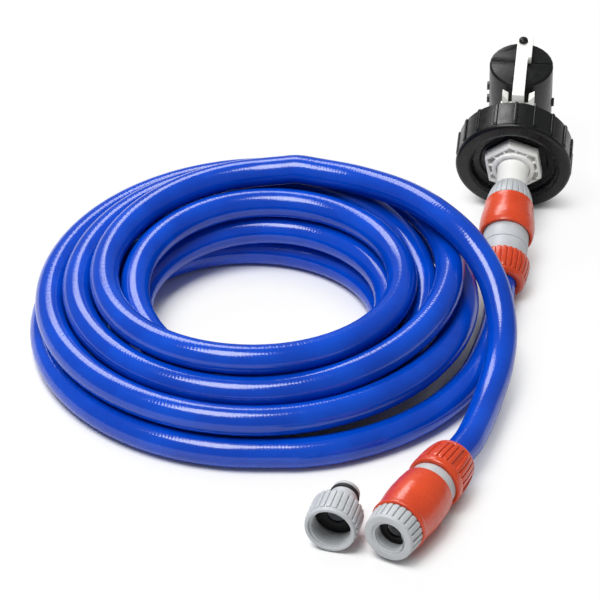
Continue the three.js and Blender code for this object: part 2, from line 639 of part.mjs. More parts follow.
// ---------------------------------------------------------------- screw cap
const capWallR = CAP_R - CAP_RIB_HEIGHT;
const capInner = CAP_R - CAP_RIB_HEIGHT - CAP_WALL;
const capBack = CAP_AT + CAP_DEPTH;
const recessFloor = CAP_AT + CAP_RECESS;
const webBack = recessFloor + CAP_WEB;
const ringInner = capInner - 2 * GAP - GASKET_WIDTH;
const recessR = ringInner - CAP_RING_WALL;
const stemHole = STEM_R + STEM_THREAD_CLEARANCE;
const capShell = turned([
  [stemHole, recessFloor], [recessR - CAP_STEP_WIDTH - CAP_STEP, recessFloor],
  [recessR - CAP_STEP_WIDTH, recessFloor - CAP_STEP], [recessR - CAP_STEP, recessFloor - CAP_STEP],
  [recessR, CAP_AT + 1], [recessR + 1, CAP_AT], [capWallR - 1.6, CAP_AT], [capWallR, CAP_AT + 0.5],
  [capWallR + 0.5, CAP_AT + 1.8], [capWallR, CAP_AT + CAP_RIB_FROM], [capWallR, capBack], [capInner, capBack],
  [capInner, CAP_AT + CAP_WEB], [ringInner, CAP_AT + CAP_WEB], [ringInner, webBack], [stemHole, webBack],
], 36);
const capRibLength = CAP_DEPTH - CAP_RIB_FROM - 0.4;
const capBar = block(2.5, CAP_RIB_WIDTH, capRibLength, CAP_R - 1.25, 0, restAt + capRibLength / 2);
const capSolid = capShell.add(aroundZ(capBar, CAP_RIBS, -90));
addMesh(rearAxis, 'screw_cap', geometryOf(capSolid), blackPlastic);
const gasketFrom = CAP_AT + CAP_WEB + GAP;
const gasket = ring(ringInner + GAP, capInner - GAP, gasketFrom, gasketFrom + GASKET_THICKNESS, 32);
addMesh(rearAxis, 'cap_gasket', geometryOf(gasket), blackRubber);

// ---------------------------------------------------------------- backnut
function hexagon(flats) {
  return Array.from({ length: 6 }, (_, k) => {
    const angle = radians(60 * k + 90 - BACKNUT_TURN);
    const corner = flats / 2 / Math.cos(radians(30));
    return [corner * Math.cos(angle), corner * Math.sin(angle)];
  });
}
const backnutBack = recessFloor - GAP;
const backnutFace = backnutBack - BACKNUT_THICKNESS;
const pocketFloor = backnutFace + BACKNUT_POCKET;
const backnutPocket = raised(hexagon(BACKNUT_FLATS - 2 * BACKNUT_RIM), backnutFace - 1, pocketFloor);
const spokeMiddle = (backnutFace + pocketFloor) / 2;
const spoke = block(BACKNUT_FLATS, BACKNUT_RIB_WIDTH, BACKNUT_POCKET + 2, BACKNUT_FLATS / 2, 0, spokeMiddle);
const backnutSpokes = aroundZ(spoke, BACKNUT_RIBS, 180 / BACKNUT_RIBS - BACKNUT_TURN);
const hubFace = backnutFace - BACKNUT_HUB_RISE;
const backnutHub = rod(BACKNUT_HUB_R, hubFace, backnutBack);
const backnut = raised(hexagon(BACKNUT_FLATS), backnutFace, backnutBack)
  .subtract(backnutPocket.subtract(backnutSpokes))
  .add(backnutHub)
  .subtract(rod(stemHole, hubFace - 1, backnutBack + 1));
addMesh(rearAxis, 'hex_backnut', geometryOf(backnut), whitePlastic);

// ---------------------------------------------------------------- valve body
const washerFrom = webBack + GAP;
const flangeFrom = washerFrom + FLANGE_WASHER + GAP;
const flangeBack = flangeFrom + FLANGE_THICKNESS;
const valveBack = CAP_AT + VALVE_BACK;
const collarMouth = REAR.nut + REAR.body + REAR.sleeve + REAR.collar;
const collarFloor = collarMouth - REAR.collar - SEAT_DEPTH + COLLAR_WEB + 2 * GAP;
const stemCoreR = THREAD_MOUTH_R - STEM_THREAD_CLEARANCE;
const stemFrom = collarFloor + WASHER_THICKNESS + 2 * GAP;
const pistonFrom = valveBack - PISTON_BORE;
const valveLathe = turned([
  [ORIFICE_R, stemFrom], [stemCoreR, stemFrom], [stemCoreR, collarMouth + GAP], [STEM_NECK_R, collarMouth + GAP],
  [STEM_NECK_R, hubFace + 1], [STEM_R, hubFace + 1], [STEM_R, flangeFrom],
  [FLANGE_R, flangeFrom], [FLANGE_R, flangeBack], [VALVE_R, flangeBack], [VALVE_R, valveBack],
  [PISTON_R + GAP, valveBack], [PISTON_R + GAP, pistonFrom], [ORIFICE_R, pistonFrom],
]);

// Outlines in the valve's side plane are [distance behind the cap's face, height above the axis].
function sidePlate(outline, thickness, offset) {
  const shape = new THREE.Shape(outline.map(([along, height]) => new THREE.Vector2(CAP_AT + along, height)));
  const geometry = new THREE.ExtrudeGeometry(shape, { depth: thickness, bevelEnabled: false });
  return solid(geometry.rotateY(-Math.PI / 2).translate(offset + thickness, 0, 0));
}
function crossRod(radius, along, height, from, to) {
  const geometry = new THREE.CylinderGeometry(radius, radius, to - from, 20).rotateZ(Math.PI / 2);
  return solid(geometry.translate((from + to) / 2, height, CAP_AT + along));
}
const earRoot = flangeBack - CAP_AT - 0.5;
const ear = [
  [earRoot, -VALVE_R + 1], [PIN_AT, -VALVE_R + 1], [PIN_AT + 5, 6], [PIN_AT + 6, PIN_HEIGHT + 3],
  [PIN_AT + 4, PIN_HEIGHT + EAR_TOP], [PIN_AT - 1, PIN_HEIGHT + EAR_TOP], [PIN_AT - 4, PIN_HEIGHT - 2],
  [earRoot + 5, VALVE_R], [earRoot, VALVE_R],
];
// The top of each ear slants down to the lever.
const earOuter = EAR_INNER + EAR_THICKNESS;
const earTop = PIN_HEIGHT + EAR_TOP;
const earSlant = raised([
  [-earOuter - 1, -VALVE_R - 1], [earOuter + 1, -VALVE_R - 1], [earOuter + 1, earTop + 1],
  [EAR_INNER, earTop - EAR_THICKNESS], [-EAR_INNER, earTop - EAR_THICKNESS], [-earOuter - 1, earTop + 1],
], CAP_AT, CAP_AT + ARM_END);
const ears = sidePlate(ear, EAR_THICKNESS, EAR_INNER)
  .add(sidePlate(ear, EAR_THICKNESS, -earOuter))
  .intersect(earSlant);
const valveBore = rod(PISTON_R + GAP, pistonFrom, valveBack + 1);
const pinHole = crossRod(PIN_R + GAP, PIN_AT, PIN_HEIGHT, -2 * earOuter, 2 * earOuter);
const valveBody = valveLathe.add(ears).subtract(valveBore).subtract(pinHole);
addMesh(rearAxis, 'valve_body', geometryOf(valveBody), whitePlastic);
const flangeWasher = ring(stemHole, FLANGE_R - 0.5, washerFrom, washerFrom + FLANGE_WASHER);
addMesh(rearAxis, 'flange_washer', geometryOf(flangeWasher), blackRubber);
const pinReach = earOuter + 0.8;
addMesh(rearAxis, 'pivot_pin', geometryOf(crossRod(PIN_R, PIN_AT, PIN_HEIGHT, -pinReach, pinReach)), whitePlastic);

const sealFrom = pistonFrom + GAP;
const pistonStart = sealFrom + PISTON_SEAL + GAP;
addMesh(rearAxis, 'piston_seal', geometryOf(rod(PISTON_R - 0.2, sealFrom, sealFrom + PISTON_SEAL)), blackRubber);
addMesh(rearAxis, 'valve_piston', geometryOf(rod(PISTON_R, pistonStart, valveBack + PISTON_NOSE)), whitePlastic);

// ---------------------------------------------------------------- float and lever
const armUnder = FLOAT_TOP + GAP;
const armOver = armUnder + ARM_THICKNESS;
const heelFace = VALVE_BACK + PISTON_NOSE + GAP;
const lever = sidePlate([
  [heelFace, -HEEL_DROP], [heelFace + 3.6, -HEEL_DROP], [PIN_AT + 3.6, PIN_HEIGHT - 4],
  [PIN_AT + 3.6, armUnder], [ARM_END, armUnder],
  [ARM_END, armOver], [heelFace + 1.4, armOver], [heelFace, armOver - 6],
], ARM_WIDTH, -ARM_WIDTH / 2);
const flangeLength = ARM_END - ARM_FLANGE_FROM;
const flangeDepth = ARM_THICKNESS + ARM_FLANGE_RISE;
const armFlange = block(
  ARM_FLANGE, flangeDepth, flangeLength,
  -(ARM_WIDTH + ARM_FLANGE) / 2 + 0.05, armUnder + flangeDepth / 2, CAP_AT + ARM_FLANGE_FROM + flangeLength / 2,
);

// Upright solids of the float are turned about Z, then stood along the group's Y at the float's place.
const standUp = (shape) => shape.rotate([-90, 0, 0]).translate([0, 0, CAP_AT + FLOAT_AT]);
const knobOffset = KNOB_AT - FLOAT_AT;
const knobBore = rod(KNOB_SHANK_R + GAP, FLOAT_TOP - FLOAT_LID - 1, armOver + 4);
const knobHole = standUp(knobBore.translate([0, -knobOffset, 0]));
const leverSolid = lever.add(armFlange).subtract(pinHole).subtract(knobHole);
addMesh(rearAxis, 'lever_arm', geometryOf(leverSolid), whitePlastic);

const floatBottom = FLOAT_TOP - FLOAT_HEIGHT;
const canWall = turned([
  [0, FLOAT_TOP - FLOAT_LID], [FLOAT_R - FLOAT_WALL, FLOAT_TOP - FLOAT_LID], [FLOAT_R - FLOAT_WALL, floatBottom],
  [FLOAT_R - 0.6, floatBottom], [FLOAT_R, floatBottom + 6], [FLOAT_R, FLOAT_TOP - 1.2],
  [FLOAT_R - 1.2, FLOAT_TOP], [0, FLOAT_TOP],
], 28);
const crease = block(2 * FLOAT_R, 0.8, 0.8, 0, -1.5, FLOAT_TOP);
const lug = block(2.6, 3, 4.6, FLOAT_R, 0, 0);
const lugs = lug.translate([0, 0, 8]).add(lug.translate([0, 0, -3])).add(lug.translate([-2 * FLOAT_R, 0, -3]));
const canOutside = canWall.subtract(crease).add(lugs.subtract(rod(FLOAT_R - 1, -10, 20)));
const canSolid = standUp(canOutside).subtract(knobHole);
addMesh(rearAxis, 'float_can', geometryOf(canSolid), blackPlastic);
const baseTop = floatBottom + FLOAT_BASE;
const plugR = FLOAT_R - FLOAT_WALL - GAP;
const floatBase = standUp(turned([
  [0, floatBottom - 1.5], [FLOAT_R - 1.4, floatBottom - 1.5], [FLOAT_R - 0.6, floatBottom - 0.7],
  [FLOAT_R - 0.6, floatBottom - GAP], [plugR, floatBottom - GAP], [plugR, baseTop], [0, baseTop],
], 28));
addMesh(rearAxis, 'float_base', geometryOf(floatBase), blackPlastic);
const knob = standUp(turned([
  [0, FLOAT_TOP - FLOAT_LID], [KNOB_SHANK_R, FLOAT_TOP - FLOAT_LID], [KNOB_SHANK_R, armOver + GAP],
  [KNOB_R, armOver + GAP], [KNOB_R, armOver + 1.6], [KNOB_R - 0.9, armOver + 2.5], [0, armOver + 2.5],
]).translate([0, -knobOffset, 0]));
addMesh(rearAxis, 'float_knob', geometryOf(knob), blackPlastic);

// ---------------------------------------------------------------- the kit stands on the floor, centred
kit.updateMatrixWorld(true);
const box = new THREE.Box3().setFromObject(kit, true);
const middle = box.getCenter(new THREE.Vector3());
kit.position.set(-middle.x, -middle.y, -box.min.z);
kit.updateMatrixWorld(true);

export default kit;
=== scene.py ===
# Drinking-water hose kit: a coiled blue hose, two quick connectors, a spare tap adapter and a float
# valve in a screw cap.
import json
import math

import bmesh
import bpy
import numpy as np
from mathutils import Matrix, Vector


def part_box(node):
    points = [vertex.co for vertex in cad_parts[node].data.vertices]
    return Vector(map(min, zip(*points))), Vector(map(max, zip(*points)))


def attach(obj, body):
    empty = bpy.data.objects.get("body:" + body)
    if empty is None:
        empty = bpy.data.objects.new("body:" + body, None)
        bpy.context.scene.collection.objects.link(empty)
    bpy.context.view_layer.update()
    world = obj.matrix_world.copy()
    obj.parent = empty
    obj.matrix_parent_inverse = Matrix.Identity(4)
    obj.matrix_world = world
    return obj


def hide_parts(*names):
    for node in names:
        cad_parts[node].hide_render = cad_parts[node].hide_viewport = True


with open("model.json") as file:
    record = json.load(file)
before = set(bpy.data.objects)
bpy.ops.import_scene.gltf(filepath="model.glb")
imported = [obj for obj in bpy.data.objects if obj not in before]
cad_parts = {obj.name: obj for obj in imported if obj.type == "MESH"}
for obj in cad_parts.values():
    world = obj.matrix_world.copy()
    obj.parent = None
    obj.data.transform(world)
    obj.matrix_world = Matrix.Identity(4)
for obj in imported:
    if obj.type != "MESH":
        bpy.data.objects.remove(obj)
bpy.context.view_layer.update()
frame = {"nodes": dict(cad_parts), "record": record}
NODES = frame["nodes"]
MM = 0.001

# ---------------------------------------------------------------- sizes, millimetres and degrees
GAP = 0.3
HOSE_R = 8.75
HOSE_STEP, HOSE_SIDES = 3.6, 28
# Each station is the (radius, height) of the hose's centre, as a turn passes the front, the left, the
# back and the right.
COIL_TURNS = [
    [(126.4, 8.75), (125.3, 8.75), (124, 17.3), (123, 26.8)],
    [(119, 25.6), (121.6, 27.2), (123.2, 35.8), (114.3, 45.2)],
    [(102.6, 33.6), (105.4, 36), (104, 44.6), (99.3, 32.2)],
    [(103.5, 14), (103, 16.8), (98, 8.75), (94.5, 8.75)],
    [(83.5, 8.75), (86.5, 8.75), (78, 8.75), (76, 8.75)],
    [(65.5, 16), (69.8, 18.6), (72.6, 27.2), (78.5, 27.2)],
    [(82.4, 28), (71, 38.2), (74.3, 45.2), (86, 45)],
    [(90, 47.1), (89, 45.1), (90.4, 56.6), (104, 64)],
]
COIL_LENGTH_IN_TURNS = 7.5
COIL_STEPS = 72                 # points in a turn
COIL_END_RISE = 1.9
FRONT_ROUTE = [
    (37, 86.6, 59.2), (61, 77, 60), (89, 55.5, 63.2), (109.5, 31.5, 64.3), (126.5, 9.6, 59),
    (139, -12, 46.5), (143.5, -35, 32), (141, -58, 22), (134, -84, 17), (127.5, -107, 16.5),
]
REAR_ROUTE = [
    (48, -122, 9), (78, -108.5, 9.1), (105, -86, 9.1), (125, -57, 9.1), (136, -27, 9.3), (141.8, -4, 9.6),
]
LEAD_STUB = 6
STRAIGHT_LEAD = (18, 11, 4)     # points straight behind a fitting
HOSE_END = 14                   # depth of the hose inside a clamp nut

CAP_R, CAP_AT, CAP_DEPTH, CAP_RIB_FROM = 36.4, 99.2, 22, 3
FRONT_SLEEVE_R, SPARE_R = 17.3, 15
FRONT_START, FRONT_HEADING = (112, -143), -151.4
REAR_START, REAR_HEADING, REAR_RISE = (146.8, 33), 6.7, 12.3
SPARE_MOUTH, SPARE_HEADING = (42, -204), 15.7
PIN_AT, PIN_HEIGHT = 35.3, 20   # pivot behind the face of the cap, and above its axis

CAMERA_AT, CAMERA_PITCH, CAMERA_LENS = (26, -1679.3, 1201.3), 55, 208.2
SHARP_ABOVE = 34                # edges with a sharper turn than this aren't smoothed over


# ---------------------------------------------------------------- places
def fitting_place(start, height, heading, rise):
    """The frame of a fitting: its +Z runs along the axis and its +Y leans up."""
    h, r = math.radians(heading), math.radians(rise)
    flat = Vector((math.sin(h), math.cos(h), 0))
    up = Vector((0, 0, 1))
    along = flat * math.cos(r) + up * math.sin(r)
    over = up * math.cos(r) - flat * math.sin(r)
    side = over.cross(along)
    turn = Matrix((side, over, along)).transposed().to_4x4()
    return Matrix.Translation((start[0], start[1], height)) @ turn


cap_rise = math.radians(REAR_RISE)
rear_height = CAP_R * math.cos(cap_rise) - (CAP_AT + CAP_RIB_FROM) * math.sin(cap_rise)
rear = fitting_place(REAR_START, rear_height, REAR_HEADING, REAR_RISE)
pin_low, pin_high = (Vector(corner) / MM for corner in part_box("pivot_pin"))
kit_shift = (pin_low + pin_high) / 2 - rear @ Vector((0, PIN_HEIGHT, CAP_AT + PIN_AT))
kit_shift.z = 0
SHIFT = Matrix.Translation(kit_shift)
REAR = SHIFT @ rear
FRONT = SHIFT @ fitting_place(FRONT_START, FRONT_SLEEVE_R, FRONT_HEADING, 0)
SPARE = SHIFT @ fitting_place(SPARE_MOUTH, SPARE_R, SPARE_HEADING, 0)


def put_in_scene(name, data):
    """A new object in the scene, at the origin."""
    made = bpy.data.objects.new(name, data)
    bpy.context.scene.collection.objects.link(made)
    return made


# ---------------------------------------------------------------- camera
camera_data = bpy.data.cameras.new("camera")
camera_data.lens = CAMERA_LENS
camera_data.sensor_width = 36
camera_data.clip_end = 20
camera = put_in_scene("camera", camera_data)
camera.location = (SHIFT @ Vector(CAMERA_AT)) * MM
camera.rotation_euler = (math.radians(CAMERA_PITCH), 0, 0)
bpy.context.scene.camera = camera


# ---------------------------------------------------------------- node trees
class Value:
    """A value or a shader in a node tree. Arithmetic on it adds Math nodes."""

    def __init__(self, work, socket):
        self.work = work
        self.socket = socket

    def other(self, output):
        """Another output of the same node."""
        return Value(self.work, self.socket.node.outputs[output])

    def _math(self, operation, first, second=0.0):
        return self.work.node("ShaderNodeMath", {"operation": operation}, {0: first, 1: second})

    def __add__(self, other):
        return self._math("ADD", self, other)

    def __sub__(self, other):
        return self._math("SUBTRACT", self, other)

    def __rsub__(self, other):
        return self._math("SUBTRACT", other, self)

    def __mul__(self, other):
        return self._math("MULTIPLY", self, other)

    def __truediv__(self, other):
        return self._math("DIVIDE", self, other)

    def __rtruediv__(self, other):
        return self._math("DIVIDE", other, self)

    def __pow__(self, other):
        return self._math("POWER", self, other)

    def __mod__(self, other):
        return self._math("MODULO", self, other)

    def __lt__(self, other):
        return self._math("LESS_THAN", self, other)

    def __abs__(self):
        return self._math("ABSOLUTE", self)

    def sign(self):
        return self._math("SIGN", self)

    def sine(self):
        return self._math("SINE", self)

    def larger_of(self, other):
        return self._math("MAXIMUM", self, other)

    __radd__ = __add__
    __rmul__ = __mul__


class NodeWork:
    """A node tree under construction."""

    def __init__(self, tree):
        self.tree = tree

    def node(self, kind, settings=None, inputs=None, output=0):
        """Adds a node: first its settings, then the values and links of its sockets."""
        made = self.tree.nodes.new(kind)
        for key, value in (settings or {}).items():
            setattr(made, key, value)
        for key, value in (inputs or {}).items():
            if isinstance(value, Value):
                self.tree.links.new(value.socket, made.inputs[key])
            else:
                made.inputs[key].default_value = value
        return Value(self, made.outputs[output]) if len(made.outputs) else None


# ---------------------------------------------------------------- finishes
class Finish(NodeWork):
    """A material under construction, with its surface shader. Noise scales are per metre."""

    def __init__(self, name, **sockets):
        self.material = bpy.data.materials.new(name)
        self.material.use_nodes = True
        super().__init__(self.material.node_tree)
        self.shader = self.tree.nodes["Principled BSDF"]
        for socket, value in sockets.items():
            self.set(socket.replace("_", " "), value)

    def set(self, socket, value):
        target = self.shader.inputs[socket]
        if isinstance(value, Value):
            self.tree.links.new(value.socket, target)
        else:
            target.default_value = value

    def along_and_round(self):
        """Distance along the piece in metres and the turn round it, from its UV map."""
        uv = self.node("ShaderNodeTexCoord", output="UV")
        along = self.node("ShaderNodeSeparateXYZ", inputs={0: uv})
        return along, along.other("Y")

    def noise(self, scale, detail=3, rough=0.5):
        place = self.node("ShaderNodeTexCoord", output="Object")
        return self.node("ShaderNodeTexNoise", inputs={
            "Vector": place, "Scale": scale, "Detail": detail, "Roughness": rough})

    def mix(self, amount, first, second):
        """A colour between two, by the Mix node's colour sockets."""
        return self.node("ShaderNodeMix", {"data_type": "RGBA"}, {0: amount, 6: first, 7: second}, output=2)

    def step(self, value, low, high, to_low=0.0, to_high=1.0):
        return self.node("ShaderNodeMapRange", {"interpolation_type": "SMOOTHSTEP"}, {
            "Value": value, "From Min": low, "From Max": high, "To Min": to_low, "To Max": to_high})

    def wave(self, value, cycles):
        """A sine between 0 and 1."""
        return (value * (2 * math.pi * cycles)).sine() * 0.5 + 0.5

    def bump(self, height, distance, strength=1.0):
        self.set("Normal", self.node("ShaderNodeBump", inputs={
            "Height": height, "Distance": distance, "Strength": strength}))


def rgb(text):
    """A linear colour from an sRGB hex value."""
    values = [int(text[i:i + 2], 16) / 255 for i in (0, 2, 4)]
    return tuple(v / 12.92 if v <= 0.04045 else ((v + 0.055) / 1.055) ** 2.4 for v in values) + (1.0,)


def moulded(name, light, dark, roughness, grain=0.00004, coat=0.0, shine=0.5):
    """Moulded plastic: faint flow marks in the colour, a fine grain and slightly uneven gloss."""
    finish = Finish(name, IOR=1.48, Specular_IOR_Level=shine)
    flow = finish.noise(38, 4, 0.6)
    finish.set("Base Color", finish.mix(finish.step(flow, 0.3, 0.72), rgb(dark), rgb(light)))
    smears = finish.noise(170, 3, 0.6)
    finish.set("Roughness", finish.step(smears, 0.3, 0.75, roughness - 0.06, roughness + 0.08))
    if coat:
        finish.set("Coat Weight", coat)
        finish.set("Coat Roughness", 0.12)
    finish.bump(finish.noise(1500, 2, 0.5) + finish.noise(300, 2, 0.5) * 0.7, grain)
    return finish.material


def hose_vinyl():
    """Glossy blue vinyl over a woven layer: fine cross ribs and two slanted yarns that break up the shine."""
    rib_period, yarn_pitch, yarns = 0.002, 0.0125, 3
    finish = Finish("blue_hose", IOR=1.5)
    along, turn = finish.along_and_round()
    ribs = finish.wave(along, 1 / rib_period)
    left_yarn = finish.wave(along * (1 / yarn_pitch) + turn, yarns)
    right_yarn = finish.wave(along * (1 / yarn_pitch) - turn, yarns)
    weave = ribs * 0.7 + left_yarn * 0.3 + right_yarn * 0.3
    patches = finish.noise(28, 3, 0.6)
    deep = finish.mix(finish.step(patches, 0.35, 0.7), rgb("003eb2"), rgb("004ac6"))
    finish.set("Base Color", finish.mix(weave * 0.14, deep, rgb("0036a4")))
    finish.set("Roughness", finish.step(weave, 0.2, 1.2, 0.1, 0.2))
    finish.bump(weave * finish.step(patches, 0.2, 0.8, 0.75, 1.15), 0.00004, 0.9)
    return finish.material


def seal_rubber():
    """Matt black rubber with a faint bloom."""
    finish = Finish("black_rubber", IOR=1.45)
    cloud = finish.noise(60, 4, 0.6)
    finish.set("Base Color", finish.mix(cloud, rgb("161618"), rgb("2a2a2c")))
    finish.set("Roughness", finish.step(cloud, 0.3, 0.7, 0.55, 0.75))
    finish.bump(finish.noise(900, 3, 0.6), 0.00006)
    return finish.material


FINISHES = {
    "blue_hose": hose_vinyl(),
    "orange_plastic": moulded("orange_plastic", "d64822", "c8401d", 0.28, coat=0.2),
    "grey_plastic": moulded("grey_plastic", "bfc2c5", "b1b4b7", 0.42),
    "white_plastic": moulded("white_plastic", "f4f4f0", "eaeae6", 0.4),
    "black_plastic": moulded("black_plastic", "111213", "0a0b0c", 0.3, grain=0.00002, shine=0.4),
    "black_rubber": seal_rubber(),
}
SLOT_OF = {part["node"]: part["material_slot"] for part in frame["record"]["subparts"]}
for node_name, node in NODES.items():
    node.data.materials.clear()
    node.data.materials.append(FINISHES[SLOT_OF[node_name]])


# ---------------------------------------------------------------- meshes
def smooth_but_edges(mesh, sharp_above=SHARP_ABOVE):
    mesh.shade_smooth()
    mesh.set_sharp_from_angle(angle=math.radians(sharp_above))


def mesh_object(name, points, faces, place):
    """A closed mesh from points in millimetres in the frame of a fitting."""
    mesh = bpy.data.meshes.new(name)
    mesh.from_pydata([place @ Vector(p) * MM for p in points], [], faces)
    cleaned = bmesh.new()
    cleaned.from_mesh(mesh)
    bmesh.ops.remove_doubles(cleaned, verts=cleaned.verts, dist=1e-7)
    bmesh.ops.recalc_face_normals(cleaned, faces=cleaned.faces)
    cleaned.to_mesh(mesh)
    cleaned.free()
    smooth_but_edges(mesh)
    return put_in_scene(name, mesh)


def rounded(profile, radius, steps=3):
    """The profile with its corners turned into arcs. A corner on the axis stays."""
    longest_share, least_reach = 0.45, 0.02
    loop = profile[0][0] > 0
    count = len(profile)
    result = []
    for i, corner in enumerate(profile):
        if not loop and i in (0, count - 1):
            result.append(corner)
            continue
        here, before, after = (Vector(p) for p in (corner, profile[i - 1], profile[(i + 1) % count]))
        reach = min(radius, longest_share * (before - here).length, longest_share * (after - here).length)
        if reach < least_reach:
            result.append(corner)
            continue
        start = here + (before - here).normalized() * reach
        end = here + (after - here).normalized() * reach
        for k in range(steps + 1):
            t = k / steps
            result.append(tuple(start * (1 - t) ** 2 + here * (2 * t * (1 - t)) + end * t ** 2))
    return result


def turned(name, profile, place, round_edges=0.35, segments=72, shape=None):
    """A profile of (radius, height) turned about the axis. shape(radius, height, angle) may change both."""
    loop = profile[0][0] > 0
    profile = rounded(profile, round_edges) if round_edges else profile
    points, rows, faces = [], [], []
    for radius, height in profile:
        ring_points = 1 if radius <= 1e-6 else segments
        rows.append([len(points) + k for k in range(ring_points)])
        for k in range(ring_points):
            angle = 2 * math.pi * k / segments
            r, z = shape(radius, height, angle) if shape else (radius, height)
            points.append((r * math.cos(angle), r * math.sin(angle), z))
    pairs = list(zip(rows, rows[1:])) + ([(rows[-1], rows[0])] if loop else [])
    for low, high in pairs:
        for k in range(segments):
            n = (k + 1) % segments
            corners = []
            for v in (low[k % len(low)], low[n % len(low)], high[n % len(high)], high[k % len(high)]):
                if v not in corners:
                    corners.append(v)
            if len(corners) > 2:
                faces.append(corners)
    return mesh_object(name, points, faces, place)


def screw_thread(name, place, radius, depth, pitch, start, end):
    """A right-handed thread in a bore, which fades out at both ends."""
    steps, root_overlap, root_half, crest_half, least_depth = 40, 0.12, 0.4, 0.08, 0.02
    turns = (end - start) / pitch
    count = int(turns * steps)
    points, faces = [], []
    for i in range(count + 1):
        t = i / count
        angle = 2 * math.pi * turns * t
        fade = min(1, 6 * t, 6 * (1 - t)) * (1 - least_depth) + least_depth
        crest = radius - depth * fade
        root = radius + root_overlap
        middle = start + (end - start) * t
        for r, dz in ((root, -root_half), (crest, -crest_half), (crest, crest_half), (root, root_half)):
            points.append((r * math.cos(angle), r * math.sin(angle), middle + dz * pitch))
    for i in range(count):
        for k in range(4):
            n = (k + 1) % 4
            faces.append((i * 4 + k, i * 4 + n, i * 4 + 4 + n, i * 4 + 4 + k))
    faces += [(0, 1, 2, 3), tuple(count * 4 + k for k in (3, 2, 1, 0))]
    return mesh_object(name, points, faces, place)


RIB_LENGTHS = ("Radius", "Cone", "Bow", "From", "To", "Width", "Height")


def ribs_tree():
    """Geometry nodes: ribs round an axis, added to the piece. They may come in groups, and follow a
    bowed cone."""
    squareness, end_crowding, end_narrowing, end_power = 0.3, 2.2, 0.4, 24.0
    tree = bpy.data.node_groups.new("ribs round an axis", "GeometryNodeTree")
    kinds = {"Geometry": "Geometry", "Count": "Int", "Group": "Int", "Kept in group": "Int"}
    kinds |= {label: "Float" for label in (*RIB_LENGTHS, "Start")} | {"Material": "Material"}
    for label, kind in kinds.items():
        tree.interface.new_socket(label, in_out="INPUT", socket_type=f"NodeSocket{kind}")
    tree.interface.new_socket("Geometry", in_out="OUTPUT", socket_type="NodeSocketGeometry")
    work = NodeWork(tree)
    piece = work.node("NodeGroupInput")
    count, group, kept, start, material = (
        piece.other(label) for label in ("Count", "Group", "Kept in group", "Start", "Material"))
    radius, cone, bow, low, high, width, height = (piece.other(label) for label in RIB_LENGTHS)

    def squared(value):
        return value.sign() * abs(value) ** squareness

    def to_the_ends(value):
        return value.sign() * (1.0 - (1.0 - abs(value)) ** end_crowding)

    # One rib: a round bar, made square, laid on the cone and narrowed at its ends.
    bar = work.node("GeometryNodeMeshCylinder", inputs={
        "Vertices": 16, "Side Segments": 10, "Radius": 1.0, "Depth": 2.0}, output="Mesh")
    position = work.node("ShaderNodeSeparateXYZ", inputs={0: work.node("GeometryNodeInputPosition")})
    x, y, z = squared(position), squared(position.other("Y")), to_the_ends(position.other("Z"))
    thin = 1.0 - abs(z) ** end_power * end_narrowing
    foot = radius + z * cone * 0.5 + (1.0 - z * z) * bow
    shaped = work.node("GeometryNodeSetPosition", inputs={
        "Geometry": bar,
        "Position": work.node("ShaderNodeCombineXYZ", inputs={
            0: x * thin * height + foot,
            1: y * thin * (width * 0.5) * (foot / radius),
            2: z * ((high - low) * 0.5) + (high + low) * 0.5})})

    # Its copies round the axis.
    index = work.node("GeometryNodeInputIndex")
    angle = index * (2 * math.pi) / count + start
    copies = work.node("GeometryNodeInstanceOnPoints", inputs={
        "Points": work.node("GeometryNodePoints", inputs={"Count": count}),
        "Selection": index % group < kept,
        "Instance": shaped,
        "Rotation": work.node("ShaderNodeCombineXYZ", inputs={2: angle})})
    solid = work.node("GeometryNodeRealizeInstances", inputs={0: copies})
    ribs = work.node("GeometryNodeSetShadeSmooth", inputs={0: solid})
    both = work.node("GeometryNodeJoinGeometry", inputs={0: ribs})
    tree.links.new(piece.socket, both.socket.node.inputs[0])
    finished = work.node("GeometryNodeSetMaterial", inputs={"Geometry": both, "Material": material})
    work.node("NodeGroupOutput", inputs={0: finished})
    return tree


RIBS = ribs_tree()


def applied(piece):
    """Turns what the piece's modifier makes into its own mesh, and removes the modifier."""
    bpy.context.view_layer.update()
    evaluated = piece.evaluated_get(bpy.context.evaluated_depsgraph_get())
    mesh = bpy.data.meshes.new_from_object(evaluated)
    piece.modifiers.clear()
    piece.data = mesh
    return mesh


def add_ribs(piece, place, slot, **values):
    """Adds ribs to a turned piece, made in the fitting's own frame."""
    inverse = (Matrix.Scale(MM, 4) @ place @ Matrix.Scale(1 / MM, 4)).inverted()
    piece.data.transform(inverse)
    modifier = piece.modifiers.new("ribs", "NODES")
    modifier.node_group = RIBS
    given = {"Group": 1, "Kept in group": 1, "Cone": 0.0, "Bow": 0.0, "Start": 0.0, **values}
    given["Material"] = FINISHES[slot]
    for item in RIBS.interface.items_tree:
        if item.in_out == "INPUT" and item.name in given:
            value = given[item.name]
            modifier[item.identifier] = value * MM if item.name in RIB_LENGTHS else value
    applied(piece).transform(inverse.inverted())
    return piece


def joined(name, pieces):
    """One piece out of several."""
    with bpy.context.temp_override(active_object=pieces[0], selected_editable_objects=pieces):
        bpy.ops.object.join()
    pieces[0].name = name
    return pieces[0]


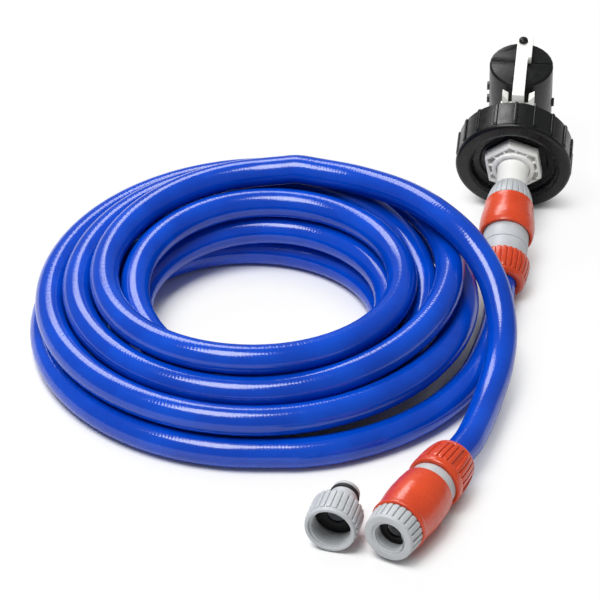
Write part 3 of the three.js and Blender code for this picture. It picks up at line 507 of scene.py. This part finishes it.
def softened(name, node_name, edge):
    """A copy of a CAD node with its edges rounded off and its facets smoothed."""
    mesh = NODES[node_name].data.copy()
    copy = put_in_scene(name, mesh)
    work = bmesh.new()
    work.from_mesh(mesh)
    bmesh.ops.remove_doubles(work, verts=work.verts, dist=1e-6)
    bmesh.ops.dissolve_limit(work, angle_limit=math.radians(1), verts=work.verts, edges=work.edges)
    work.to_mesh(mesh)
    work.free()
    bevel = copy.modifiers.new("edges", "BEVEL")
    bevel.width = edge * MM
    bevel.segments = 2
    bevel.limit_method = "ANGLE"
    bevel.angle_limit = math.radians(40)
    bevel.use_clamp_overlap = True
    smooth_but_edges(applied(copy))
    return copy


def finish_piece(piece, slot, body, *nodes):
    """Gives a piece its material and its body, and hides the CAD nodes that it stands for."""
    piece.data.materials.clear()
    piece.data.materials.append(FINISHES[slot])
    for polygon in piece.data.polygons:
        polygon.material_index = 0
    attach(piece, body)
    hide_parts(*nodes)
    return piece


# ---------------------------------------------------------------- hose
def station_value(values, at):
    """A value that runs smoothly through the stations of the coil, a quarter turn apart."""
    last = len(values) - 1
    i = min(int(at), last - 1)
    u = at - i
    p0, p1, p2, p3 = (values[min(max(k, 0), last)] for k in (i - 1, i, i + 1, i + 2))
    bend = (2 * p0 - 5 * p1 + 4 * p2 - p3) * u * u + (3 * p1 - p0 - 3 * p2 + p3) * u ** 3
    return (2 * p1 + (p2 - p0) * u + bend) / 2


def coil_line(steps):
    """The centre of the wound coil, with so many points in a turn."""
    radii, heights = zip(*(station for turn in COIL_TURNS for station in turn))
    line = []
    for i in range(int(COIL_LENGTH_IN_TURNS * steps) + 1):
        turn = i / steps
        angle = -math.pi / 2 - 2 * math.pi * turn
        radius = station_value(radii, 4 * turn)
        height = max(station_value(heights, 4 * turn), HOSE_R)
        line.append(Vector((radius * math.cos(angle), radius * math.sin(angle), height)))
    return line


def smooth_route(points, step=3.0):
    """A centripetal spline through points, in steps of about the given length."""
    ends = [points[0] * 2 - points[1], *points, points[-1] * 2 - points[-2]]
    line = []
    for p0, p1, p2, p3 in zip(ends, ends[1:], ends[2:], ends[3:]):
        t01, t12, t23 = ((b - a).length ** 0.5 for a, b in ((p0, p1), (p1, p2), (p2, p3)))
        m1 = (p2 - p1) + t12 * ((p1 - p0) / t01 - (p2 - p0) / (t01 + t12))
        m2 = (p2 - p1) + t12 * ((p3 - p2) / t23 - (p3 - p1) / (t12 + t23))
        count = max(2, round((p2 - p1).length / step))
        for k in range(count):
            u = k / count
            line.append(p1 * (2 * u ** 3 - 3 * u * u + 1) + m1 * (u ** 3 - 2 * u * u + u)
                        + p2 * (3 * u * u - 2 * u ** 3) + m2 * (u ** 3 - u * u))
    return line + [points[-1]]


def lead_line(start, direction, route, place):
    """From the coil, along the route, and straight into the fitting at place."""
    back = SHIFT.inverted() @ place
    points = [start + direction * GAP, start + direction * (GAP + LEAD_STUB)]
    points += [Vector(p) for p in route]
    points += [back @ Vector((0, 0, -distance)) for distance in STRAIGHT_LEAD]
    return smooth_route(points + [back @ Vector((0, 0, HOSE_END))])


def run_along(line):
    """The distance from the start of the line to each of its points."""
    return np.concatenate([[0], np.cumsum(np.linalg.norm(np.diff(line, axis=0), axis=1))])


def even_steps(line, step):
    """The line with its points spread evenly, about a step apart."""
    line = np.array([tuple(p) for p in line])
    run = run_along(line)
    at = np.linspace(0, run[-1], round(run[-1] / step) + 1)
    return np.stack([np.interp(at, run, line[:, k]) for k in range(3)], axis=1)


turns = coil_line(COIL_STEPS)
rear_direction = Vector((1, 0, 0))
top_direction = Vector((2 * HOSE_R, 0, COIL_END_RISE)).normalized()
coil_start = turns[0] + rear_direction * 2 * HOSE_R
coil_end = turns[-1] + top_direction * 2 * HOSE_R
rear_lead = lead_line(coil_start, rear_direction, REAR_ROUTE, REAR)
front_lead = lead_line(coil_end, top_direction, FRONT_ROUTE, FRONT)
hose_line = even_steps([*reversed(rear_lead), *turns, *front_lead], HOSE_STEP)


def tube(name, line, radius, sides):
    """A round hose along a line, with a UV map of metres along it and the turn round it."""
    points, faces, uvs = [], [], []
    along = np.gradient(line, axis=0)
    along /= np.linalg.norm(along, axis=1)[:, None]
    side = np.cross(along, (0, 0, 1))
    side /= np.linalg.norm(side, axis=1)[:, None]
    over = np.cross(side, along)
    run = run_along(line) * MM
    for centre, across, above in zip(line, side, over):
        for k in range(sides):
            angle = 2 * math.pi * k / sides - math.pi / 2
            points.append(tuple(centre + radius * (across * math.cos(angle) + above * math.sin(angle))))
    for i in range(len(line) - 1):
        for k in range(sides):
            n = (k + 1) % sides
            faces.append((i * sides + k, i * sides + sides + k, i * sides + sides + n, i * sides + n))
            u, v = (run[i], run[i + 1]), (k / sides, (k + 1) / sides)
            uvs += [(u[0], v[0]), (u[1], v[0]), (u[1], v[1]), (u[0], v[1])]
    last = (len(line) - 1) * sides
    faces += [tuple(range(sides)), tuple(last + k for k in reversed(range(sides)))]
    uvs += [(0, 0)] * (2 * sides)
    mesh = bpy.data.meshes.new(name)
    mesh.from_pydata([SHIFT @ Vector(p) * MM for p in points], [], faces)
    layer = mesh.uv_layers.new(name="UVMap")
    layer.data.foreach_set("uv", [c for uv in uvs for c in uv])
    smooth_but_edges(mesh, 50)
    return put_in_scene(name, mesh)


hose = tube("water_hose", hose_line, HOSE_R, HOSE_SIDES)
finish_piece(hose, "blue_hose", "hose_and_bodies", "hose_coil", "hose_lead_front", "hose_lead_rear")


# ---------------------------------------------------------------- quick connectors
NUT_R, NUT_REAR_R, NUT_RIB, NUT_LIP = 16.2, 13.6, 0.9, 3
THREAD_R, CLEARANCE = 12.4, 0.4
BODY_R, BODY_HEAD_R, BODY_BORE_R, NECK_R = 13.9, 13.4, 5.2, 11.4
SEAT_DEPTH, SLEEVE_GUIDE, SOCKET_CLEARANCE = 2, 2, 0.7
NIPPLE_R, NIPPLE_LENGTH, NIPPLE_BORE_R = 7.9, 24, 5
SEAL_R, SEAL_SQUEEZE, SEAL_BACK = 1.5, 0.9, 3
SEAL_GROOVE, SEAL_GROOVE_R = 2 * SEAL_R + 0.6, NIPPLE_R - 2 * SEAL_R + 0.6
WASHER_THICKNESS = 2
COLLAR_WEB, COLLAR_RIBS, RIB_HEIGHT = 3, 24, 0.8
THREAD_MOUTH_R, PIPE_PITCH, PIPE_THREAD_DEPTH = 9.5, 1.81, 1.16
# A grip runs from its first radius to its second one and bows outwards by the third value.
FRONT_SIZE = {
    "nut": 25.5, "flange": 5.5, "body": 7.8, "sleeve": 35.2, "collar": 12.1,
    "sleeve_back": 16.1, "sleeve_widest": 17.3, "widest_at": 0.42, "sleeve_front": 16, "sleeve_lip": 0.45,
    "grip": (15.6, 14.7, 0), "lip": 2.6, "chamfer": 1,
}
REAR_SIZE = {
    "nut": 17.8, "flange": 0, "body": 21.6, "sleeve": 26.3, "collar": 14.3,
    "sleeve_back": 16.2, "sleeve_widest": 17, "widest_at": 0.25, "sleeve_front": 15, "sleeve_lip": 0.1,
    "grip": (14.3, 10.6, 0.85), "lip": 0, "chamfer": 0.4,
}
SPLIT = 10.9                    # where the rear body's loose ring ends


def sleeve_start(size):
    return size["nut"] + size["body"]


def sleeve_end(size):
    return sleeve_start(size) + size["sleeve"]


def nipple_seat(size):
    """Where the shoulder of the coupling rests in the body."""
    return sleeve_end(size) - SEAT_DEPTH + GAP


def bowed_outline(start, end, bow, low, high):
    """Points of an outline from one radius to another, bowed outwards, between two heights."""
    return [(start + (end - start) * share + bow * 4 * share * (1 - share), low + share * (high - low))
            for share in (0, 0.25, 0.5, 0.75, 1)]


def nipple_tip(tip, back):
    """A nipple's outline from its bore to behind the O-ring's groove. back is 1 or -1 along the axis."""
    groove_end = SEAL_BACK + SEAL_GROOVE
    outline = [
        (NIPPLE_BORE_R, 0), (NIPPLE_R - 1, 0), (NIPPLE_R, 1), (NIPPLE_R, SEAL_BACK),
        (SEAL_GROOVE_R, SEAL_BACK), (SEAL_GROOVE_R, groove_end), (NIPPLE_R, groove_end),
    ]
    return [(radius, tip + back * depth) for radius, depth in outline]


def clamp_nut(prefix, place, size):
    length, flange = size["nut"], size["flange"]
    ribbed = length - flange
    bore, wide = HOSE_R + CLEARANCE, THREAD_R + CLEARANCE
    rib_from = 3.6
    crest_back, crest_front, bow = NUT_REAR_R + 0.55, NUT_R - 0.2, 0.55
    root_back, root_front = crest_back - NUT_RIB, crest_front - NUT_RIB
    outline = [(bore, 0), (NUT_REAR_R - 1.8, 0), (NUT_REAR_R - 0.1, 1.5), (crest_back - 0.05, rib_from - 0.5)]
    outline += bowed_outline(root_back, root_front, bow, rib_from + 0.3, ribbed)
    if flange:
        outline += [(NUT_R - 0.6, ribbed + 0.2), (NUT_R, ribbed + 1), (NUT_R, length - 0.8),
                    (NUT_R - 0.8, length)]
    else:
        outline += [(NUT_R - 0.3 - NUT_RIB, length)]
    outline += [(wide, length), (wide, HOSE_END), (wide - 1.6, NUT_LIP + 0.5), (bore, NUT_LIP)]
    nut = turned(f"{prefix}_nut", outline, place, 0.5)
    ribs = {"Count": 30, "Group": 5, "Kept in group": 4} if flange else {"Count": 28}
    add_ribs(nut, place, "orange_plastic", **ribs, Radius=(root_back + root_front) / 2,
             Cone=root_front - root_back, Bow=bow, From=rib_from - 0.4, To=ribbed + 0.4 if flange else ribbed,
             Width=2.55, Height=NUT_RIB, Start=0.05)
    return finish_piece(nut, "orange_plastic", f"{prefix}_nut", f"{prefix}_clamp_nut")


def release_sleeve(prefix, place, size, flats):
    """A barrel with its widest place nearer one end, and four shallow flats."""
    start, length, end = sleeve_start(size), size["sleeve"], sleeve_end(size)
    inner = BODY_R + CLEARANCE
    back, widest, front, lip = (size[f"sleeve_{key}"] for key in ("back", "widest", "front", "lip"))
    widest_at = start + length * size["widest_at"]
    narrowing_at = widest_at + length * 0.18
    neck_at = end - 3.2
    outline = [
        (inner, start), (back - 0.5, start), (back, start + 0.7),
        ((back + 2 * widest) / 3, (start + widest_at) / 2), (widest, widest_at), (widest - 0.2, narrowing_at),
        ((widest + front) / 2, (narrowing_at + neck_at) / 2), (front, neck_at), (front + lip, end - 2.6),
        (front + lip, end - 0.6), (front - 0.5, end), (inner, end),
    ]

    def shape(radius, height, angle):
        middle = math.sin(math.pi * min(max((height - start) / length, 0), 1))
        dent = flats * middle * (0.5 - 0.5 * math.cos(4 * angle)) if radius > inner + 0.3 else 0
        return radius - dent, height

    sleeve = turned(f"{prefix}_sleeve", outline, place, 0.5, 96, shape)
    return finish_piece(sleeve, "orange_plastic", f"{prefix}_sleeve", f"{prefix}_release_sleeve")


def tap_coupling(prefix, place, size, body, threaded):
    """The nipple that plugs into the body, with its ribbed collar and its threaded mouth."""
    seat, lip, chamfer = nipple_seat(size), size["lip"], size["chamfer"]
    grip_from = sleeve_end(size) + GAP
    mouth = sleeve_end(size) + size["collar"]
    grip_end = mouth - lip
    floor = seat + COLLAR_WEB
    waist_r = NIPPLE_R - 1.2
    first, last, bow = size["grip"]
    mouth_r = THREAD_MOUTH_R + chamfer
    outline = [
        *nipple_tip(seat - GAP - NIPPLE_LENGTH, 1), (NIPPLE_R, seat - 13), (waist_r, seat - 12.2),
        (waist_r, seat - 8.4), (NIPPLE_R, seat - 7.6), (NIPPLE_R, seat), (BODY_HEAD_R, seat),
        (BODY_HEAD_R, grip_from),
    ]
    grip_last = max(last - RIB_HEIGHT, mouth_r + 0.3)
    outline += bowed_outline(first - RIB_HEIGHT, grip_last, bow, grip_from, grip_end)
    if lip:
        outline += [(last - 0.15, grip_end + 0.2), (last - 0.15, mouth - 0.6), (last - 0.75, mouth)]
    outline += [
        (mouth_r, mouth), (THREAD_MOUTH_R, mouth - chamfer), (THREAD_MOUTH_R, floor), (NIPPLE_BORE_R, floor),
    ]
    piece = turned(f"{prefix}_coupling_shell", outline, place, 0.3)
    add_ribs(piece, place, "grey_plastic", Count=COLLAR_RIBS, Radius=(first + last) / 2 - RIB_HEIGHT,
             Cone=last - first, Bow=bow, From=grip_from + 0.1, To=grip_end + (0.9 if lip else 0),
             Width=2.75, Height=RIB_HEIGHT)
    if threaded:
        thread = screw_thread(f"{prefix}_pipe_thread", place, THREAD_MOUTH_R, PIPE_THREAD_DEPTH, PIPE_PITCH,
                              floor + 2.8, mouth - 0.6)
        piece = joined(f"{prefix}_tap_coupling", [piece, thread])
    return finish_piece(piece, "grey_plastic", body, f"{prefix}_coupling")


def connector_body(prefix, place, size, ribbed_from=None):
    start = size["nut"] + (SPLIT + GAP if ribbed_from else GAP)
    shoulder = sleeve_start(size) + SLEEVE_GUIDE
    front = sleeve_end(size) - SEAT_DEPTH
    socket = NIPPLE_R + SOCKET_CLEARANCE
    floor = front - NIPPLE_LENGTH - 1
    outline = [
        (BODY_BORE_R, HOSE_END + GAP), (THREAD_R, HOSE_END + GAP), (THREAD_R, start), (BODY_R, start),
        (BODY_R, shoulder), (NECK_R, shoulder), (NECK_R, front - 4), (BODY_HEAD_R, front - 4),
        (BODY_HEAD_R, front), (socket + 0.8, front), (socket, front - 0.8), (socket, floor),
        (BODY_BORE_R, floor),
    ]
    body = turned(f"{prefix}_body", outline, place, 0.3)
    if ribbed_from:
        add_ribs(body, place, "grey_plastic", Count=40, Radius=BODY_R - 0.3, From=ribbed_from,
                 To=ribbed_from + 9, Width=1.1, Height=0.3)
    return finish_piece(body, "grey_plastic", "hose_and_bodies", f"{prefix}_connector_body")


def nipple_seal(prefix, place, height, body):
    """The O-ring in a nipple's groove."""
    thick = SEAL_R * SEAL_SQUEEZE
    radius = SEAL_GROOVE_R + GAP + thick
    section = [(radius + thick * math.cos(a), height + thick * math.sin(a))
               for a in np.linspace(0, 2 * math.pi, 13)[:-1]]
    ring = turned(f"{prefix}_o_ring", section, place, 0, 48)
    return finish_piece(ring, "black_rubber", body, f"{prefix}_nipple_seal")


def flat_washer(name, place, inner, outer, start, thickness, body, node):
    end = start + thickness
    made = turned(name, [(inner, start), (outer, start), (outer, end), (inner, end)], place, 0.4, 64)
    return finish_piece(made, "black_rubber", body, node)


def quick_connector(prefix, place, size, tap_body, flats, threaded, ribbed_from=None):
    seat = nipple_seat(size)
    seal_at = seat - GAP - NIPPLE_LENGTH + SEAL_BACK + SEAL_GROOVE / 2
    return [
        clamp_nut(prefix, place, size),
        release_sleeve(prefix, place, size, flats),
        tap_coupling(prefix, place, size, tap_body, threaded),
        connector_body(prefix, place, size, ribbed_from),
        nipple_seal(prefix, place, seal_at, f"{prefix}_seal"),
        flat_washer(f"{prefix}_washer", place, NIPPLE_BORE_R, THREAD_MOUTH_R - GAP, seat + COLLAR_WEB + GAP,
                    WASHER_THICKNESS, tap_body, f"{prefix}_flat_washer"),
    ]


front_pieces = quick_connector("front", FRONT, FRONT_SIZE, "front_tap_end", flats=0.35, threaded=True)
ring_from, ring_to = REAR_SIZE["nut"] + GAP, REAR_SIZE["nut"] + SPLIT
quick_connector("rear", REAR, REAR_SIZE, "float_valve", flats=0.2, threaded=False, ribbed_from=ring_to + 0.8)
body_ring = turned("rear_ring", [
    (THREAD_R + 2 * GAP, ring_from), (BODY_R, ring_from), (BODY_R, ring_to), (THREAD_R + 2 * GAP, ring_to),
], REAR, 0.35)
finish_piece(body_ring, "grey_plastic", "hose_and_bodies", "rear_body_ring")

# ---------------------------------------------------------------- spare adapter
SPARE_LIP, SPARE_LIP_R, SPARE_LENGTH, SPARE_SHOULDER, SPARE_CHAMFER = 3, 14.3, 19, 1.5, 0.5
SPARE_MOUTH_R, SPARE_NIPPLE = 12.2, 17.6
spare_tip = SPARE_LENGTH + SPARE_NIPPLE
spare_floor = SPARE_LENGTH - COLLAR_WEB
spare_root = SPARE_R - RIB_HEIGHT
spare_rib_end = SPARE_LENGTH - SPARE_SHOULDER
adapter = turned("spare_shell", [
    (SPARE_MOUTH_R + SPARE_CHAMFER, 0), (SPARE_LIP_R - 0.3, 0), (SPARE_LIP_R, 0.5), (SPARE_LIP_R, SPARE_LIP),
    (spare_root, SPARE_LIP + 0.2), (spare_root, spare_rib_end), (SPARE_R - 3.5, SPARE_LENGTH),
    (NIPPLE_R + 0.4, SPARE_LENGTH), (NIPPLE_R, SPARE_LENGTH + 1), *reversed(nipple_tip(spare_tip, -1)),
    (NIPPLE_BORE_R, spare_floor), (SPARE_MOUTH_R, spare_floor), (SPARE_MOUTH_R, SPARE_CHAMFER),
], SPARE, 0.3)
add_ribs(adapter, SPARE, "grey_plastic", Count=26, Radius=spare_root, From=SPARE_LIP - 0.4,
         To=spare_rib_end + 0.6, Width=2.7, Height=RIB_HEIGHT)
spare_thread = screw_thread("spare_thread", SPARE, SPARE_MOUTH_R, PIPE_THREAD_DEPTH, PIPE_PITCH, 0.9,
                            spare_floor - 3)
finish_piece(joined("spare_tap_adapter", [adapter, spare_thread]), "grey_plastic", "spare", "spare_adapter")
nipple_seal("spare", SPARE, spare_tip - SEAL_BACK - SEAL_GROOVE / 2, "spare")
flat_washer("spare_washer", SPARE, NIPPLE_BORE_R, SPARE_MOUTH_R - GAP, spare_floor - GAP - WASHER_THICKNESS,
            WASHER_THICKNESS, "spare", "spare_flat_washer")

# ---------------------------------------------------------------- screw cap
CAP_RIB, CAP_WALL, CAP_WEB, CAP_RECESS, CAP_RING_WALL = 0.9, 3.2, 2.7, 6.9, 2.6
CAP_STEP, CAP_STEP_WIDTH, CAP_EDGE, CAP_EDGE_PROUD = 1, 5, 2.2, 0.45
GASKET_WIDTH, GASKET_THICKNESS = 2.7, 2.2
STEM_HOLE = 10.65
wall_r = CAP_R - CAP_RIB
cap_inner = wall_r - CAP_WALL
cap_back = CAP_AT + CAP_DEPTH
cap_web_at = CAP_AT + CAP_WEB
recess_floor = CAP_AT + CAP_RECESS
ring_inner = cap_inner - 2 * GAP - GASKET_WIDTH
recess_r = ring_inner - CAP_RING_WALL
web_back = recess_floor + CAP_WEB
step_r = recess_r - CAP_STEP_WIDTH
step_floor = recess_floor - CAP_STEP
rim_arc = [(wall_r + CAP_EDGE_PROUD - CAP_EDGE * (1 - math.sin(a)), CAP_AT + CAP_EDGE * (1 - math.cos(a)))
           for a in np.linspace(0, math.pi / 2, 7)]
cap = turned("cap_shell", [
    (STEM_HOLE, recess_floor), (step_r - CAP_STEP, recess_floor), (step_r, step_floor),
    (recess_r - 1.6, step_floor), (recess_r - 0.6, step_floor - 0.6), (recess_r - 0.2, CAP_AT + 2),
    (recess_r + 0.5, CAP_AT + 0.6), (recess_r + 2, CAP_AT), *rim_arc, (wall_r, CAP_AT + CAP_RIB_FROM),
    (wall_r, cap_back - 0.6), (wall_r - 0.6, cap_back), (cap_inner + 0.6, cap_back),
    (cap_inner, cap_back - 0.6), (cap_inner, cap_web_at), (ring_inner, cap_web_at), (ring_inner, web_back),
    (STEM_HOLE, web_back),
], REAR, 0.5, 144)
add_ribs(cap, REAR, "black_plastic", Count=18, Radius=wall_r, From=CAP_AT + CAP_RIB_FROM, To=cap_back - 0.3,
         Width=2.3, Height=CAP_RIB, Start=-math.pi / 2)
cap_thread = screw_thread("cap_thread", REAR, cap_inner, 0.8, 4, CAP_AT + 9.5, cap_back - 3)
finish_piece(joined("barrel_cap", [cap, cap_thread]), "black_plastic", "float_valve", "screw_cap")
flat_washer("barrel_gasket", REAR, ring_inner + GAP, cap_inner - GAP, cap_web_at + GAP, GASKET_THICKNESS,
            "float_valve", "cap_gasket")

# ---------------------------------------------------------------- float valve
for piece_name, node_name, edge, slot, body in (
    ("cap_backnut", "hex_backnut", 0.5, "white_plastic", "float_valve"),
    ("float_valve_body", "valve_body", 0.35, "white_plastic", "float_valve"),
    ("float_lever_arm", "lever_arm", 0.45, "white_plastic", "float_lever"),
    ("float_can_top", "float_can", 0.5, "black_plastic", "float_lever"),
    ("float_can_base", "float_base", 0.4, "black_plastic", "float_lever"),
    ("float_pin_knob", "float_knob", 0.3, "black_plastic", "float_lever"),
):
    finish_piece(softened(piece_name, node_name, edge), slot, body, node_name)

# ---------------------------------------------------------------- studio
FLOOR_HALF, FLOOR_BELOW = 12, 0.0002      # metres


def floor_material():
    """White for the camera, with a contact shadow where the object stands close over it."""
    material = bpy.data.materials.new("studio_floor")
    material.use_nodes = True
    material.node_tree.nodes.clear()
    work = NodeWork(material.node_tree)
    lit = work.node("ShaderNodeBsdfDiffuse", inputs={"Color": (0.86, 0.86, 0.86, 1)})
    white = work.node("ShaderNodeEmission", inputs={"Strength": 1.0})
    camera_sees = work.node("ShaderNodeLightPath", output="Is Camera Ray")
    openness = work.node("ShaderNodeAmbientOcclusion", inputs={"Distance": 0.035}, output="AO")
    share = work.node("ShaderNodeMapRange", inputs={
        "Value": openness, "From Min": 0.35, "From Max": 0.8, "To Max": 0.88})
    blend = work.node("ShaderNodeMixShader", inputs={0: camera_sees * share, 1: lit, 2: white})
    work.node("ShaderNodeOutputMaterial", inputs={"Surface": blend})
    return material


def studio_world():
    """Dim light on the object, and a pale ground where the camera or a clear surface looks past it."""
    made = bpy.data.worlds.new("studio")
    made.use_nodes = True
    made.node_tree.nodes.clear()
    work = NodeWork(made.node_tree)
    light = work.node("ShaderNodeBackground", inputs={"Color": (1, 1, 1, 1), "Strength": 0.25})
    ground = work.node("ShaderNodeBackground", inputs={"Strength": 1.0})
    ray = work.node("ShaderNodeLightPath", output="Is Camera Ray")
    sees = ray.larger_of(ray.other("Is Transmission Ray"))
    pick = work.node("ShaderNodeMixShader", inputs={0: sees, 1: light, 2: ground})
    work.node("ShaderNodeOutputWorld", inputs={"Surface": pick})
    return made


def softbox(name, location, width, height, watts):
    light = bpy.data.lights.new(name, "AREA")
    light.shape = "RECTANGLE"
    light.size, light.size_y = width, height
    light.energy = watts
    lamp = put_in_scene(name, light)
    lamp.location = location
    lamp.rotation_euler = (-Vector(location)).to_track_quat("-Z", "Y").to_euler()


floor_corners = [(x * FLOOR_HALF, y * FLOOR_HALF, -FLOOR_BELOW)
                 for x, y in ((-1, -1), (1, -1), (1, 1), (-1, 1))]
floor_mesh = bpy.data.meshes.new("floor")
floor_mesh.from_pydata(floor_corners, [], [(0, 1, 2, 3)])
floor_mesh.materials.append(floor_material())
put_in_scene("floor", floor_mesh)
bpy.context.scene.world = studio_world()
softbox("back box", (-0.45, 1.15, 1.3), 0.9, 0.7, 13.5)
softbox("top box", (-0.38, -0.42, 1.55), 0.75, 0.85, 25)
bpy.context.scene.view_settings.view_transform = "Standard"
